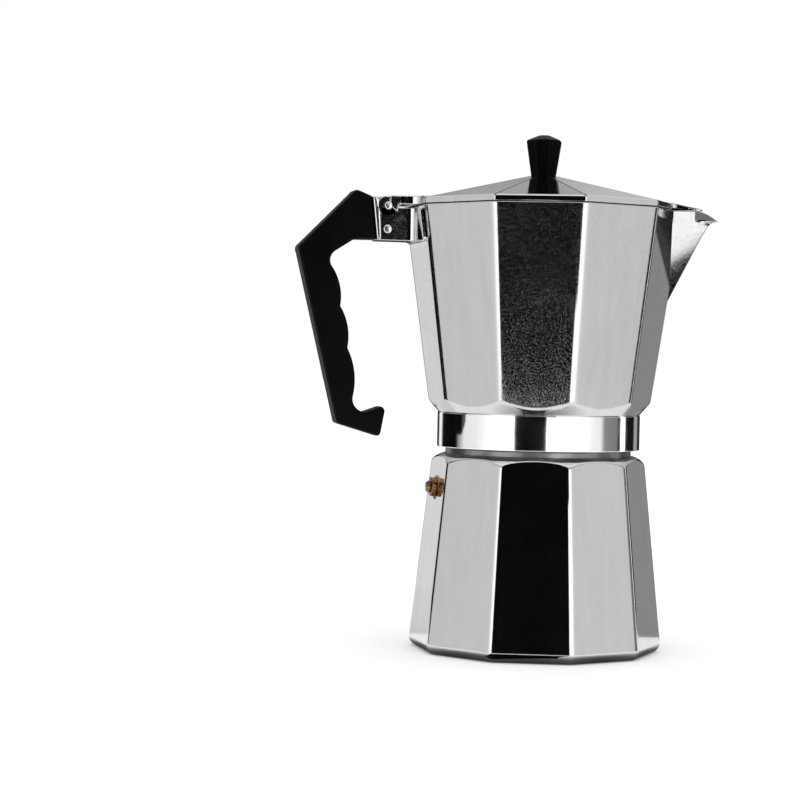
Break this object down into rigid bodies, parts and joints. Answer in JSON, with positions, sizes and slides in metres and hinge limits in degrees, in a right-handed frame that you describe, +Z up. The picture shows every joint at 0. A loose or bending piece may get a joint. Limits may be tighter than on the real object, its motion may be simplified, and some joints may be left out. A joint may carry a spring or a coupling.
{
  "type": "moka pot",
  "caption": "Ten-sided stovetop moka pot with screwed-together water chamber and collector, coffee funnel, safety valve, hinged lid, black handle and knob.",
  "frame": {"origin": "centre of the flat base, on the pot's axis", "axes": "+Z up along the pot's axis, -X towards the handle, +X towards the spout, +Y across the handle's plane"},
  "size_m": [0.2167, 0.1376, 0.255],
  "materials": {
    "cast_aluminium": "polished",
    "spun_aluminium": "satin",
    "black_plastic": "satin",
    "rubber": "matte",
    "brass": "aged",
    "copper": "satin",
    "steel": "bright"
  },
  "bodies": {
    "boiler": {"boiler": "cast_aluminium", "valve_body": "brass", "valve_washer": "copper", "valve_cap": "brass", "valve_spring": "steel"},
    "plunger": {"valve_plunger": "steel"},
    "funnel": {"funnel_cup": "spun_aluminium", "funnel_stem": "spun_aluminium", "funnel_plate": "spun_aluminium"},
    "seal": {"gasket": "rubber", "filter_plate": "spun_aluminium"},
    "collector": {"collector": "cast_aluminium", "handle": "black_plastic", "handle_pin": "steel", "hinge_pin": "steel"},
    "lid": {"lid": "cast_aluminium", "knob": "black_plastic", "knob_insert": "brass", "knob_screw": "steel", "knob_washer": "steel"}
  },
  "joints": [
    {"name": "lift_out", "type": "slide", "parent": "boiler", "child": "funnel", "axis": [0, 0, 1], "range_m": [0, 0.12]},
    {"name": "thread_lift", "type": "slide", "parent": "funnel", "child": "seal", "axis": [0, 0, 1], "range_m": [0, 0.012]},
    {"name": "unscrew_turn", "type": "hinge", "parent": "seal", "child": "collector", "pos_m": [0, 0, 0.112], "axis": [0, 0, 1], "range_deg": [0, 1080]},
    {"name": "lid_hinge", "type": "hinge", "parent": "collector", "child": "lid", "pos_m": [-0.0805, 0, 0.217], "axis": [0, -1, 0], "range_deg": [0, 105]},
    {"name": "valve_lift", "type": "slide", "parent": "boiler", "child": "plunger", "axis": [-1, 0, 0], "range_m": [0, 0.0015], "stiffness_N_per_m": 1500, "springref_m": -0.002, "deforming": ["valve_spring"]}
  ],
  "couplings": [
    {"joint": "thread_lift", "follows": "unscrew_turn", "m_per_rad": 0.00063662}
  ]
}
